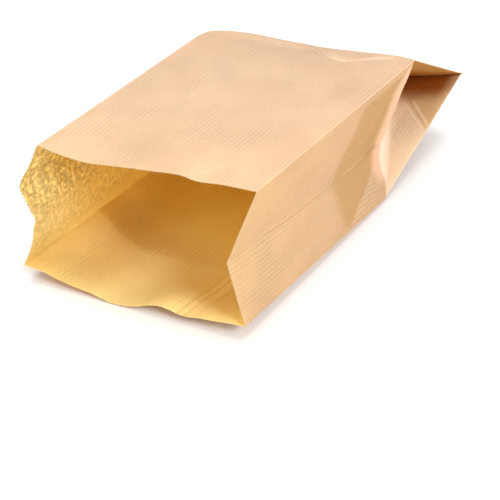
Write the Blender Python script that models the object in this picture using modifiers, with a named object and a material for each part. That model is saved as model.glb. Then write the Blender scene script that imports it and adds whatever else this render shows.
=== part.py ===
"""Side-gusset kraft paper bag, opened at the mouth and lying on its back panel.

One sheet of ribbed kraft is folded into a tube with a front panel, a back panel
and two gussets, lapped and glued along the back panel, then pinched flat, folded
under the back panel and glued at the closed end. The mouth is cut with a fine
zigzag.

Frame: X across the bag, Y from the mouth to the closed end, Z up. The origin is
on the surface the bag lies on, in the middle of the flat patch of its underside.
"""
import math

import bmesh
import bpy
import numpy as np

MM = 0.001

# ---- the sheet ---------------------------------------------------------------
WIDTH = 200.0          # front and back panel, mm
GUSSET = 120.0         # each gusset, opened flat
LENGTH = 450.0         # mouth to folded end
END_LAP = 15.0         # closed end: flap folded under the back panel and glued
ROLL = 3.0             # the folded edge stands this far beyond the pinched line
WALL = 0.1             # kraft thickness
TOOTH_PITCH = 2.5      # zigzag cut of the mouth
TOOTH_DEPTH = 1.0
LAP_INNER = 40.0       # glued lap along the back panel, from x = 40 ...
LAP_OUTER = 55.0       # ... to x = 55
HALF = GUSSET / 2.0
V_PINCH = LENGTH - ROLL
ORIGIN_Y = 170.0       # from the mouth line to the origin

# ---- how the opened bag stands: its folds, as (x, y, z) in mm, y from the mouth --
TOP_R_MOUTH = np.array([100.0, 3.4, 129.0])      # front panel, right corner
TOP_L_MOUTH = np.array([-95.5, 8.0, 116.5])
LOW_R_MOUTH = np.array([98.0, -3.5, 13.4])       # back panel, right corner
LOW_L_MOUTH = np.array([-101.0, -5.6, 13.4])
TOP_R_CREST = np.array([100.0, 312.5, 117.7])    # where the front panel starts down
TOP_L_CREST = np.array([-100.0, 312.0, 103.3])
LOW_R_HEEL = np.array([100.0, 266.5, 3.0])       # where the back panel starts up
LOW_L_HEEL = np.array([-100.0, 264.0, 3.0])
PINCH_R = np.array([99.6, 436.5, 56.3])          # corners of the pinched line
PINCH_L = np.array([-99.6, 434.0, 42.0])
V_HEEL = 268.5
V_RIDGE = V_HEEL                                  # gusset crease turns inward here
V_CREST = V_HEEL + 0.25 * (V_PINCH - V_HEEL)
RIDGE_R = np.array([98.0, 262.0, 63.0])
RIDGE_L = np.array([-80.0, 268.0, 57.0])
PINCH_DIP = 12.5                                  # the pinched line hangs in the middle
SWELL = 8.0                                       # the tapered end stands out by this
CREASE_R = 17.5                                   # right crease pushed in at the mouth
LAYER = 0.22                                      # height of one layer in the pinched end
FOLD_R = 0.25                                     # each long fold is a narrow rounded turn

# ---- grid ---------------------------------------------------------------------
HALF_TOOTH = TOOTH_PITCH / 2.0
CELL_PANEL = 20.0
CELL_GUSSET = 15.0
BODY_ROWS = [12.0, 30.0, 48.0, 70.0, 95.0, 122.0, 150.0, 178.0, 205.0, 230.0, 252.0]


def end_rows():
    """Rows of the tapered end: every place where a slanting fold of a gusset
    passes a column, and one between those that lie far apart."""
    quarters = [0.25 * i for i in range(5)]
    found = []
    for start, stop in ((V_CREST, V_RIDGE), (V_CREST, V_PINCH), (V_HEEL, V_PINCH)):
        found += [round(start + (stop - start) * q, 4) for q in quarters]
    found = sorted(set(found))
    rows = [found[0]]
    for v in found[1:]:
        if v - rows[-1] > 14.0:
            rows.append(0.5 * (rows[-1] + v))
        rows.append(v)
    return rows


ROWS = BODY_ROWS + end_rows()


def bump(t):
    """0 to 1 to 0 with level ends, over t in 0..1."""
    t = min(max(t, 0.0), 1.0)
    return 0.5 - 0.5 * math.cos(2.0 * math.pi * t)


def ease(t):
    t = min(max(t, 0.0), 1.0)
    return t * t * (3.0 - 2.0 * t)


def swell(t, k):
    """How far a panel of the tapered end stands out, t across and k along it."""
    across = 1.0 - (1.0 - 2.0 * t) ** 4
    rise = max(0.0, math.sin(math.pi * min(k, 1.0)))
    return SWELL * across * (math.sqrt(rise) if k < 0.5 else rise)


def bell(x, centre, left, right):
    w = left if x < centre else right
    return math.exp(-((x - centre) / w) ** 2)


def pinch_line(x, level):
    """The pinched line, a shallow smile; level counts layers above its middle."""
    t = (x - PINCH_L[0]) / (PINCH_R[0] - PINCH_L[0])
    p = PINCH_L + (PINCH_R - PINCH_L) * t
    hang = 1.0 - (x / 100.0) ** 2
    return p + np.array([0.0, -4.0 * hang, -PINCH_DIP * hang + level * LAYER])


def fold(v, mouth, bend, v_bend, side, level):
    """One of the four long folds: straight to its bend, then to the pinch."""
    if v <= v_bend:
        return mouth + (bend - mouth) * (v / v_bend)
    end = pinch_line(side, level)
    return bend + (end - bend) * ((v - v_bend) / (V_PINCH - v_bend))


def top_right(v):
    return fold(v, TOP_R_MOUTH, TOP_R_CREST, V_CREST, PINCH_R[0], 1.0)


def top_left(v):
    return fold(v, TOP_L_MOUTH, TOP_L_CREST, V_CREST, PINCH_L[0], 1.0)


def low_right(v):
    return fold(v, LOW_R_MOUTH, LOW_R_HEEL, V_HEEL, PINCH_R[0], -1.0)


def low_left(v):
    return fold(v, LOW_L_MOUTH, LOW_L_HEEL, V_HEEL, PINCH_L[0], -1.0)


def crease_right(v):
    """Centre crease of the right gusset, pushed in at the mouth."""
    if v <= V_RIDGE:
        base = 0.5 * (top_right(v) + low_right(v))
        t = v / V_RIDGE
        ridge = RIDGE_R - 0.5 * (top_right(V_RIDGE) + low_right(V_RIDGE))
        push = CREASE_R * math.exp(-v / 75.0) + 3.0 * bump(t)
        nose = math.exp(-v / 40.0)
        return base + ridge * ease(t) + np.array([-push * (1.0 - ease(t)), -6.5 * nose, -4.0 * nose])
    end = pinch_line(PINCH_R[0] - HALF, 0.0)
    return RIDGE_R + (end - RIDGE_R) * ((v - V_RIDGE) / (V_PINCH - V_RIDGE))


def crease_left(v):
    if v <= V_RIDGE:
        base = 0.5 * (top_left(v) + low_left(v))
        t = v / V_RIDGE
        ridge = RIDGE_L - 0.5 * (top_left(V_RIDGE) + low_left(V_RIDGE))
        return base + ridge * t ** 3
    end = pinch_line(PINCH_L[0] + HALF, 0.0)
    return RIDGE_L + (end - RIDGE_L) * ((v - V_RIDGE) / (V_PINCH - V_RIDGE))


def front_panel(s, v):
    """s from the left fold (0) to the right fold (WIDTH)."""
    a, b = top_left(v), top_right(v)
    t = s / WIDTH
    p = a + (b - a) * t
    if v >= V_PINCH:
        return pinch_line(p[0], 1.5)
    x = p[0]
    lip = math.exp(-(v / 70.0) ** 1.5)
    p[2] -= lip * (6.0 * bell(x, -50.0, 30.0, 42.0) * ease((x + 97.0) / 25.0) + 1.5 * bell(x, 49.0, 8.0, 10.0))
    if v <= V_CREST:
        p[2] -= bump(t) * 4.0 * ease(v / V_CREST)
        p[2] -= bump(t) * 1.0 * (1.0 - lip)
    else:
        k = (v - V_CREST) / (V_PINCH - V_CREST)
        p[2] -= bump(t) * 5.0 * (1.0 - k) ** 2
        p[2] += swell(t, k)
        flat = PINCH_L[2] + (PINCH_R[2] - PINCH_L[2]) * t
        dip = pinch_line(x, 1.5)
        p[2] += (dip[2] - flat - LAYER) * k
        p[1] += (dip[1] - (PINCH_L[1] + (PINCH_R[1] - PINCH_L[1]) * t)) * k
    return p


def back_panel(s, v):
    """s from the right fold (0) to the left fold (WIDTH)."""
    a, b = low_right(v), low_left(v)
    t = s / WIDTH
    p = a + (b - a) * t
    if v >= V_PINCH:
        return pinch_line(p[0], -1.5)
    x = p[0]
    edge = p[2]
    # body: level where it lies on the ground, rising to the folds
    k = 0.0 if v <= V_HEEL else (v - V_HEEL) / (V_PINCH - V_HEEL)
    ground = (edge if v <= V_HEEL else LOW_R_HEEL[2] * (1.0 - k)) * (1.0 - ease((abs(x) - 58.0) / 42.0) ** 1.3)
    # mouth: the lip is wavy, with its low point left of the middle
    lip = ease(1.0 - v / 85.0)
    wavy = edge * bell(x, -21.0, 50.0, 35.0) + 5.5 * bell(x, 44.0, 14.0, 14.0)
    wavy *= ease((100.0 - abs(x)) / 14.0)
    p[2] -= lip * min(wavy, edge) + (1.0 - lip) * ground
    if v > V_HEEL:
        p[2] -= swell(t, k)
        dip = pinch_line(x, -1.5)
        flat_z = PINCH_R[2] + (PINCH_L[2] - PINCH_R[2]) * t
        flat_y = PINCH_R[1] + (PINCH_L[1] - PINCH_R[1]) * t
        p[2] += (dip[2] - flat_z + LAYER) * k
        p[1] += (dip[1] - flat_y) * k
        p[2] = max(p[2], 0.0)
    return p


def facet(s, v, tri):
    """Barycentric point on one flat facet of the folded sheet, or None outside it."""
    (s0, v0, a), (s1, v1, b), (s2, v2, c) = tri
    d = (s1 - s0) * (v2 - v0) - (s2 - s0) * (v1 - v0)
    w1 = ((s - s0) * (v2 - v0) - (s2 - s0) * (v - v0)) / d
    w2 = ((s1 - s0) * (v - v0) - (s - s0) * (v1 - v0)) / d
    w0 = 1.0 - w1 - w2
    if min(w0, w1, w2) < -1e-6:
        return None
    return a * w0 + b * w1 + c * w2


def gusset_half(s, v, outer, crease, bend, v_bend, ridge, side, level):
    """s from the long fold (0) to the centre crease (HALF).

    Up to the ridge the half is one leaning plane; past it the half is two facets
    that meet on the line from the bend of the long fold to the pinched crease.
    """
    q = s / HALF
    v_edge = v_bend + (V_RIDGE - v_bend) * q
    if v <= v_edge:
        k = v / v_edge
        start = outer(0.0) * (1.0 - q) + crease(0.0) * q
        end = bend * (1.0 - q) + ridge * q
        p = start + (end - start) * k
        # follow the curve of the crease between the mouth and the ridge
        vc = V_RIDGE * k
        line = crease(0.0) + (ridge - crease(0.0)) * k
        p += (crease(vc) - line) * q
        return p
    side_in = side - math.copysign(HALF, side)
    corner = pinch_line(side, level)
    inner = pinch_line(side_in, 0.0)
    p = None
    for tri in (((0.0, v_bend, bend), (HALF, V_RIDGE, ridge), (HALF, V_PINCH, inner)),
                ((0.0, v_bend, bend), (HALF, V_PINCH, inner), (0.0, V_PINCH, corner))):
        p = facet(s, v, tri)
        if p is not None:
            break
    # the pinched line is a shallow curve, so the facets ease onto it, each half
    # of the gusset one layer away from the other and from its panel
    k = max(0.0, (v - v_edge) / (V_PINCH - v_edge))
    chord = corner * (1.0 - q) + inner * q
    curve = pinch_line(side - math.copysign(s, side), 0.5 * level)
    return p + (curve - chord) * k


def right_upper(s, v):
    return gusset_half(s, v, top_right, crease_right, TOP_R_CREST, V_CREST, RIDGE_R, PINCH_R[0], 1.0)


def right_lower(s, v):
    return gusset_half(s, v, low_right, crease_right, LOW_R_HEEL, V_HEEL, RIDGE_R, PINCH_R[0], -1.0)


def left_upper(s, v):
    p = gusset_half(s, v, top_left, crease_left, TOP_L_CREST, V_CREST, RIDGE_L, PINCH_L[0], 1.0)
    # blown outward near the mouth
    p[0] -= 10.5 * math.sin(math.pi * min(s / HALF, 1.0)) * math.exp(-(v / 90.0) ** 2)
    return p


def left_lower(s, v):
    p = gusset_half(s, v, low_left, crease_left, LOW_L_HEEL, V_HEEL, RIDGE_L, PINCH_L[0], -1.0)
    # pressed inward near the mouth
    p[0] += 5.5 * math.sin(math.pi * min(s / HALF, 1.0)) * math.exp(-(v / 70.0) ** 2)
    return p


# The ring around the bag: each panel, its width and the distance of its columns,
# as (function, width, reversed, column places)
def places(width, cell, end_cell):
    """Columns across a panel; the last HALF at each side match the gussets."""
    side = [end_cell * i for i in range(int(round(HALF / end_cell)) + 1)]
    if width <= HALF:
        stops = side
    else:
        inner = int(round((width - 2 * HALF) / cell))
        stops = side + [HALF + cell * i for i in range(1, inner)] + [width - s for s in reversed(side)]
    return [FOLD_R] + stops[1:-1] + [width - FOLD_R]


PANEL_PLACES = places(WIDTH, CELL_PANEL, CELL_GUSSET)
HALF_PLACES = places(HALF, CELL_GUSSET, CELL_GUSSET)
RING = [
    (front_panel, WIDTH, False, PANEL_PLACES),
    (right_upper, HALF, False, HALF_PLACES),
    (right_lower, HALF, True, HALF_PLACES),
    (back_panel, WIDTH, False, PANEL_PLACES),
    (left_lower, HALF, False, HALF_PLACES),
    (left_upper, HALF, True, HALF_PLACES),
]


STACK = [3, 2, 1, 0, 1, 2]                        # order of the layers, lowest 0
BEND_OF = {2: V_CREST, 1: V_RIDGE, 0: V_HEEL}     # by the lower layer of the fold


def on_panel(i, s, v):
    fn, width, back, _ = RING[i]
    return fn(width - s if back else s, v)


def sheet(i, s, v):
    """Point of the sheet in metres; the two sides of a fold stay one layer apart."""
    p = on_panel(i, s, v)
    width = RING[i][1]
    if s <= FOLD_R:
        j = (i - 1) % len(RING)
        other = on_panel(j, RING[j][1] - FOLD_R, v)
    elif s >= width - FOLD_R:
        j = (i + 1) % len(RING)
        other = on_panel(j, FOLD_R, v)
    else:
        j, other = i, p
    if j != i:
        d = p - other
        gap = np.linalg.norm(d)
        here, there = STACK[i], STACK[j]
        if v >= BEND_OF[min(here, there)]:
            # past its bend the fold is flat: one layer on top of the other
            d = np.array([0.0, 0.0, math.copysign(max(gap, LAYER), here - there)])
        elif gap < LAYER:
            d = d * (LAYER / gap)
        p = 0.5 * (p + other + d)
    return (p[0] * MM, (p[1] - ORIGIN_Y) * MM, (p[2] + WALL / 2.0) * MM)


def slanting_folds(i, s0, s1):
    """Row pairs joined by a slanting fold of gusset half i between two columns."""
    width, back = RING[i][1], RING[i][2]
    if width != HALF:
        return []
    ends = []
    for s in (s0, s1):
        q = round((width - s if back else s) / HALF * 4.0) / 4.0
        v_bend = V_CREST if STACK[i] == 2 else V_HEEL
        lines = (v_bend + (V_RIDGE - v_bend) * q, v_bend + (V_PINCH - v_bend) * q)
        ends.append([int(np.argmin([abs(v - r) for r in ROWS])) for v in lines])
    return list(zip(*ends))


def zip_pairs(pairs):
    """Triangles or quads, as row lists on the two columns, that keep the given pairs."""
    last = len(ROWS) - 1
    low = min([last] + [min(p) for p in pairs])
    stops = [(r, r) for r in range(low + 1)] + [p for p in pairs if max(p) > low]
    if stops[-1] != (last, last):
        stops.append((last, last))
    out = []
    for (a0, b0), (a1, b1) in zip(stops, stops[1:]):
        a, b = a0, b0
        while a < a1 or b < b1:
            ta = (a + 0.5 - a0) / (a1 - a0) if a < a1 else 2.0
            tb = (b + 0.5 - b0) / (b1 - b0) if b < b1 else 2.0
            if abs(ta - tb) < 1e-9:
                out.append(([a, a + 1], [b, b + 1]))
                a, b = a + 1, b + 1
            elif ta < tb:
                out.append(([a, a + 1], [b]))
                a += 1
            else:
                out.append(([a], [b, b + 1]))
                b += 1
    return out


def build_sheet():
    """The open middle surface of the tube, with its zigzag mouth."""
    bm = bmesh.new()
    columns = [(i, s) for i, panel in enumerate(RING) for s in panel[3]]
    grid = [[bm.verts.new(sheet(i, s, v)) for i, s in columns] for v in ROWS]
    n = len(columns)
    for c in range(n):
        d = (c + 1) % n
        (i, s0), (j, s1) = columns[c], columns[d]
        pairs = slanting_folds(i, s0, s1) if i == j else []
        for a, b in zip_pairs(pairs):
            bm.faces.new([grid[r][c] for r in reversed(a)] + [grid[r][d] for r in b])
    # mouth: half-tooth steps between the columns, fanned onto the first row
    count = 0
    rim = []
    for c in range(n):
        (i, s0), (j, s1) = columns[c], columns[(c + 1) % n]
        steps = int(round((s1 - s0) / HALF_TOOTH)) if i == j else 1
        row = []
        for k in range(steps):
            v = TOOTH_DEPTH if count % 2 else 0.0
            a, b = np.array(sheet(i, s0, v)), np.array(sheet(j, s1, v))
            row.append(bm.verts.new(a + (b - a) * k / steps))
            count += 1
        rim.append(row)
    for c in range(n):
        d = (c + 1) % n
        pts = rim[c] + [rim[d][0]]
        mid = (len(pts) - 1) // 2
        for k in range(len(pts) - 1):
            bm.faces.new((pts[k], pts[k + 1], grid[0][c] if k < mid else grid[0][d]))
        bm.faces.new((pts[mid], grid[0][d], grid[0][c]))
    bmesh.ops.recalc_face_normals(bm, faces=bm.faces)
    bmesh.ops.triangulate(bm, faces=[f for f in bm.faces if len(f.verts) == 4])
    return bm


def build_end_strip():
    """The folded edge of the closed end: all the glued layers, rounded at the tip."""
    bm = bmesh.new()
    top, low, lead = 1.5 * LAYER + 0.3, -1.5 * LAYER - 0.85, 0.8
    round_r = 0.5 * (top - low)
    mid = 0.5 * (top + low)
    section = [(-lead, top), (ROLL - round_r, top)]
    for i in range(1, 4):
        a = math.pi / 2 - math.pi * i / 4
        section.append((ROLL - round_r + round_r * math.cos(a), mid + round_r * math.sin(a)))
    section += [(ROLL - round_r, low), (-lead, low)]
    span = PINCH_R[0] - PINCH_L[0]
    stations = [PINCH_L[0] + span * s / WIDTH for s in PANEL_PLACES]
    stations[0] -= 0.3
    stations[-1] += 0.3
    rings = []
    for x in stations:
        base = pinch_line(x, 0.0)
        rings.append([bm.verts.new((x * MM, (base[1] + y - ORIGIN_Y) * MM, (base[2] + z - 0.07 * y + WALL / 2) * MM)) for y, z in section])
    m = len(section)
    for i in range(len(rings) - 1):
        for k in range(m):
            j = (k + 1) % m
            bm.faces.new((rings[i][k], rings[i][j], rings[i + 1][j], rings[i + 1][k]))
    bm.faces.new(rings[0])
    bm.faces.new(rings[-1])
    bmesh.ops.recalc_face_normals(bm, faces=bm.faces)
    return bm


def build_flap():
    """The layers folded under the back panel behind the pinched line."""
    bm = bmesh.new()
    stops = [0.8] + PANEL_PLACES[1:-1] + [WIDTH - 0.8]
    rows = [V_PINCH - END_LAP, V_PINCH - 10.0, V_PINCH - 5.0, V_PINCH - 0.1]
    high = [[np.array(sheet(3, s, v)) for s in stops] for v in rows]
    drop = np.array([0.0, 0.0, -0.8 * MM])
    top = [[bm.verts.new(p) for p in line] for line in high]
    low = [[bm.verts.new(p + drop) for p in line] for line in high]
    n = len(stops)
    for i in range(len(rows) - 1):
        for k in range(n - 1):
            for g in (top, low):
                bm.faces.new((g[i][k], g[i][k + 1], g[i + 1][k + 1], g[i + 1][k]))
        for k in (0, n - 1):
            bm.faces.new((low[i][k], top[i][k], top[i + 1][k], low[i + 1][k]))
    for i in (0, len(rows) - 1):
        for k in range(n - 1):
            bm.faces.new((low[i][k], low[i][k + 1], top[i][k + 1], top[i][k]))
    bmesh.ops.recalc_face_normals(bm, faces=bm.faces)
    bmesh.ops.triangulate(bm, faces=bm.faces)
    return bm


def build_lap():
    """The second thickness of the glued lap, on the inside of the back panel."""
    bm = bmesh.new()
    stops = (WIDTH / 2 - LAP_OUTER, WIDTH / 2 - LAP_INNER)
    rows = [2.0] + [v for v in ROWS if v < V_PINCH - 19.0] + [V_PINCH - 18.0]
    low, high = [], []
    for v in rows:
        pts = [np.array(sheet(3, s, v)) for s in stops]
        low.append([bm.verts.new(p) for p in pts])
        high.append([bm.verts.new(p + np.array([0.0, 0.0, 1.5 * WALL * MM])) for p in pts])
    for i in range(len(rows) - 1):
        bm.faces.new((low[i][0], low[i][1], low[i + 1][1], low[i + 1][0]))
        bm.faces.new((high[i][0], high[i][1], high[i + 1][1], high[i + 1][0]))
        for k in (0, 1):
            bm.faces.new((low[i][k], high[i][k], high[i + 1][k], low[i + 1][k]))
    for i in (0, len(rows) - 1):
        bm.faces.new((low[i][0], low[i][1], high[i][1], high[i][0]))
    bmesh.ops.recalc_face_normals(bm, faces=bm.faces)
    bmesh.ops.triangulate(bm, faces=bm.faces)
    return bm


def make_object(name, bm, collection):
    mesh = bpy.data.meshes.new(name)
    bm.to_mesh(mesh)
    bm.free()
    obj = bpy.data.objects.new(name, mesh)
    collection.objects.link(obj)
    return obj


def kraft():
    mat = bpy.data.materials.new("ribbed_kraft")
    mat.use_nodes = True
    bsdf = mat.node_tree.nodes["Principled BSDF"]
    bsdf.inputs["Base Color"].default_value = (0.68, 0.46, 0.27, 1.0)
    bsdf.inputs["Roughness"].default_value = 0.62
    bsdf.inputs["Metallic"].default_value = 0.0
    mat.diffuse_color = (0.68, 0.46, 0.27, 1.0)
    return mat


for old in list(bpy.data.objects):
    bpy.data.objects.remove(old, do_unlink=True)

bag_parts = bpy.data.collections.new("kraft_paper_bag")
joined = bpy.data.collections.new("joined_shapes")
for col in (bag_parts, joined):
    bpy.context.scene.collection.children.link(col)

bag = make_object("paper_bag", build_sheet(), bag_parts)
bag.data.materials.append(kraft())

thick = bag.modifiers.new("kraft_thickness", "SOLIDIFY")
thick.thickness = WALL * MM
thick.offset = 0.0
thick.use_even_offset = False
thick.use_rim = True
thick.use_quality_normals = True

for tool_name, bm in (("end_strip", build_end_strip()), ("end_flap", build_flap()),
                      ("back_lap", build_lap())):
    tool = make_object(tool_name, bm, joined)
    tool.hide_render = True
    tool.display_type = "WIRE"
    union = bag.modifiers.new("join_" + tool_name, "BOOLEAN")
    union.operation = "UNION"
    union.solver = "EXACT"
    union.object = tool
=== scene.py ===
"""An opened side-gusset kraft paper bag, lying on its back panel, with the mouth towards the camera."""
import math

import bmesh
import bpy
import numpy as np
from mathutils import Matrix, Vector, noise


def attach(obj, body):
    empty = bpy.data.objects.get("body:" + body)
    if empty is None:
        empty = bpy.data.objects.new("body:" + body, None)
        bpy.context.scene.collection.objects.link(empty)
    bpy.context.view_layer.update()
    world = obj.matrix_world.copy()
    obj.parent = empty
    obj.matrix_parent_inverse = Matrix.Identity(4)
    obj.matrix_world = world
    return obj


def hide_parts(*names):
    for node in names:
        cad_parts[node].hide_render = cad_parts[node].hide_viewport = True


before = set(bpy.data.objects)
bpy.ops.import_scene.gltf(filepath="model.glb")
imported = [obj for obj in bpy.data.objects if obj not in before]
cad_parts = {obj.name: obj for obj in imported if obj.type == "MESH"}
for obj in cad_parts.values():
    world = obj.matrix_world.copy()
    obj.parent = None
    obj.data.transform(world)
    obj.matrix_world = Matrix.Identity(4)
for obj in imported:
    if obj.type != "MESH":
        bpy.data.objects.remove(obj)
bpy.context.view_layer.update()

MM = 0.001

# ---- the sheet: the same folds as the solid model, drawn finer -------------------
WIDTH = 200.0
GUSSET = 120.0
LENGTH = 450.0
END_LAP = 15.0
ROLL = 3.0
WALL = 0.1
TOOTH_PITCH = 2.5
TOOTH_DEPTH = 1.6
LAP_INNER = 40.0
LAP_OUTER = 55.0
HALF = GUSSET / 2.0
V_PINCH = LENGTH - ROLL
ORIGIN_Y = 170.0

TOP_R_MOUTH = np.array([100.0, 3.4, 129.0])
TOP_L_MOUTH = np.array([-95.5, 8.0, 116.5])
LOW_R_MOUTH = np.array([98.0, -3.5, 13.4])
LOW_L_MOUTH = np.array([-101.0, -5.6, 13.4])
TOP_R_CREST = np.array([100.0, 312.5, 117.7])
TOP_L_CREST = np.array([-100.0, 312.0, 103.3])
LOW_R_HEEL = np.array([100.0, 266.5, 3.0])
LOW_L_HEEL = np.array([-100.0, 264.0, 3.0])
PINCH_R = np.array([99.6, 436.5, 56.3])
PINCH_L = np.array([-99.6, 434.0, 42.0])
V_HEEL = 268.5
V_RIDGE = V_HEEL
V_CREST = V_HEEL + 0.25 * (V_PINCH - V_HEEL)
RIDGE_R = np.array([98.0, 262.0, 63.0])
RIDGE_L = np.array([-80.0, 268.0, 57.0])
PINCH_DIP = 12.5
SWELL = 8.0
CREASE_R = 17.5
LAYER = 0.22
FOLD_R = 0.35
FOLD_NEXT = 1.2
HALF_TOOTH = TOOTH_PITCH / 2.0
CELL = 3.0
ROW = 3.0

# the lips and the gusset edges as they stand at the mouth
TOP_LIP = [(-97, 0.0), (-80, -3.0), (-62, -5.4), (-48, -6.0), (-32, -4.6), (-11, -2.7), (6, -1.5),
           (28, 0.3), (37, 0.3), (43, -1.0), (51, -1.7), (60, -1.0), (70, -0.2), (100, 0.0)]
LOW_LIP = [(-101, 13.2), (-92, 12.2), (-82, 11.6), (-72, 9.0), (-53, 5.9), (-38, 4.3), (-30, 2.2), (-21, 0.6),
           (-10, 1.3), (2, 4.1), (13, 8.1), (23, 10.3), (32, 9.5), (39, 8.0), (47, 7.6), (59, 9.6),
           (71, 10.7), (84, 12.4), (98, 13.4)]
# the right gusset: where its flat fall inwards begins, and how far its ridge bows to the mouth
VALLEY_FROM = [(0, 206), (5, 203), (29, 183), (50, 159), (60, 158), (83, 167), (117, 184), (120, 185)]
VALLEY_TO = [(0, 296), (5, 294), (20, 286), (40, 275), (60, 265), (74, 262), (86, 253), (97, 236), (117, 198), (120, 196)]
RIDGE_BOW = [(0, 0), (10, 1), (22, 3), (30, 4), (37, 5), (50, 8), (62, 12), (72, 14), (80, 12.5), (90, 8), (98, 3), (106, 0),
             (120, 0)]
LEFT_EDGE = [(0, -95.5, 116.5), (18, -101.6, 99.0), (38, -110.0, 77.0), (47, -105.1, 69.4), (60, -97.1, 58.4),
             (66, -93.8, 55.0), (80, -94.2, 45.8), (94, -94.9, 33.0), (108, -98.2, 20.5), (120, -101.0, 13.4)]


def smooth_curve(x, knots, col=1):
    """Rounded run through knots, flat outside them."""
    xs = [k[0] for k in knots]
    ys = [k[col] for k in knots]
    if x <= xs[0]:
        return ys[0]
    if x >= xs[-1]:
        return ys[-1]
    i = max(j for j in range(len(xs) - 1) if xs[j] <= x)
    h = xs[i + 1] - xs[i]
    t = (x - xs[i]) / h

    def slope(j):
        if j == 0 or j == len(xs) - 1:
            return 0.0
        a = (ys[j] - ys[j - 1]) / (xs[j] - xs[j - 1])
        b = (ys[j + 1] - ys[j]) / (xs[j + 1] - xs[j])
        return 0.5 * (a + b)

    a, b = slope(i) * h, slope(i + 1) * h
    d = ys[i + 1] - ys[i]
    return ys[i] + t * (a + t * (3 * d - 2 * a - b + t * (a + b - 2 * d)))


def bump(t):
    t = min(max(t, 0.0), 1.0)
    return 0.5 - 0.5 * math.cos(2.0 * math.pi * t)


def ease(t):
    t = min(max(t, 0.0), 1.0)
    return t * t * (3.0 - 2.0 * t)


def swell(t, k):
    across = 1.0 - (1.0 - 2.0 * t) ** 4
    rise = max(0.0, math.sin(math.pi * min(k, 1.0)))
    return SWELL * across * (math.sqrt(rise) if k < 0.5 else rise)


def bell(x, centre, left, right):
    w = left if x < centre else right
    return math.exp(-((x - centre) / w) ** 2)


def pinch_line(x, level):
    t = (x - PINCH_L[0]) / (PINCH_R[0] - PINCH_L[0])
    p = PINCH_L + (PINCH_R - PINCH_L) * t
    hang = 1.0 - (x / 100.0) ** 2
    return p + np.array([0.0, -4.0 * hang, -PINCH_DIP * hang + level * LAYER])


def fold(v, mouth, bend, v_bend, side, level):
    if v <= v_bend:
        return mouth + (bend - mouth) * (v / v_bend)
    end = pinch_line(side, level)
    return bend + (end - bend) * ((v - v_bend) / (V_PINCH - v_bend))


def top_right(v):
    return fold(v, TOP_R_MOUTH, TOP_R_CREST, V_CREST, PINCH_R[0], 1.0)


def top_left(v):
    return fold(v, TOP_L_MOUTH, TOP_L_CREST, V_CREST, PINCH_L[0], 1.0)


def low_right(v):
    return fold(v, LOW_R_MOUTH, LOW_R_HEEL, V_HEEL, PINCH_R[0], -1.0)


def low_left(v):
    return fold(v, LOW_L_MOUTH, LOW_L_HEEL, V_HEEL, PINCH_L[0], -1.0)


def crease_right(v):
    if v <= V_RIDGE:
        base = 0.5 * (top_right(v) + low_right(v))
        t = v / V_RIDGE
        ridge = RIDGE_R - 0.5 * (top_right(V_RIDGE) + low_right(V_RIDGE))
        push = CREASE_R * math.exp(-v / 75.0) + 3.0 * bump(t)
        nose = math.exp(-v / 40.0)
        return base + ridge * ease(t) + np.array([-push * (1.0 - ease(t)), -6.5 * nose, -4.0 * nose])
    end = pinch_line(PINCH_R[0] - HALF, 0.0)
    return RIDGE_R + (end - RIDGE_R) * ((v - V_RIDGE) / (V_PINCH - V_RIDGE))


def crease_left(v):
    if v <= V_RIDGE:
        base = 0.5 * (top_left(v) + low_left(v))
        t = v / V_RIDGE
        ridge = RIDGE_L - 0.5 * (top_left(V_RIDGE) + low_left(V_RIDGE))
        return base + ridge * t ** 3
    end = pinch_line(PINCH_L[0] + HALF, 0.0)
    return RIDGE_L + (end - RIDGE_L) * ((v - V_RIDGE) / (V_PINCH - V_RIDGE))


def round_off(v, half):
    """The bend of the front panel is a roll, not an edge."""
    return -0.42 / (4.0 * half) * max(0.0, half - abs(v - V_CREST)) ** 2


def front_panel(s, v):
    a, b = top_left(v), top_right(v)
    t = s / WIDTH
    p = a + (b - a) * t
    if v >= V_PINCH:
        return pinch_line(p[0], 1.5)
    x = p[0]
    lip = math.exp(-(v / 60.0) ** 1.5)
    p[2] += lip * smooth_curve(x, TOP_LIP)
    p[2] += round_off(v, 30.0) * (1.0 - ease((x - 10.0) / 84.0))
    if v <= V_CREST:
        p[2] -= bump(t) * 4.0 * ease(v / V_CREST)
        p[2] -= bump(t) * 1.0 * (1.0 - lip)
    else:
        k = (v - V_CREST) / (V_PINCH - V_CREST)
        p[2] -= bump(t) * 5.0 * (1.0 - k) ** 2
        p[2] += swell(t, k)
        flat = PINCH_L[2] + (PINCH_R[2] - PINCH_L[2]) * t
        dip = pinch_line(x, 1.5)
        p[2] += (dip[2] - flat - LAYER) * k
        p[1] += (dip[1] - (PINCH_L[1] + (PINCH_R[1] - PINCH_L[1]) * t)) * k
    return p


def back_panel(s, v):
    a, b = low_right(v), low_left(v)
    t = s / WIDTH
    p = a + (b - a) * t
    if v >= V_PINCH:
        return pinch_line(p[0], -1.5)
    x = p[0]
    edge = p[2]
    k = 0.0 if v <= V_HEEL else (v - V_HEEL) / (V_PINCH - V_HEEL)
    ground = (edge if v <= V_HEEL else LOW_R_HEEL[2] * (1.0 - k)) * (1.0 - ease((abs(x) - 58.0) / 42.0) ** 1.3)
    lip = ease(1.0 - v / 80.0)
    p[2] = lip * smooth_curve(x, LOW_LIP) + (1.0 - lip) * (p[2] - ground)
    if v > V_HEEL:
        p[2] -= swell(t, k)
        dip = pinch_line(x, -1.5)
        flat_z = PINCH_R[2] + (PINCH_L[2] - PINCH_R[2]) * t
        flat_y = PINCH_R[1] + (PINCH_L[1] - PINCH_R[1]) * t
        p[2] += (dip[2] - flat_z + LAYER) * k
        p[1] += (dip[1] - flat_y) * k
        p[2] = max(p[2], 0.0)
    return p


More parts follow.
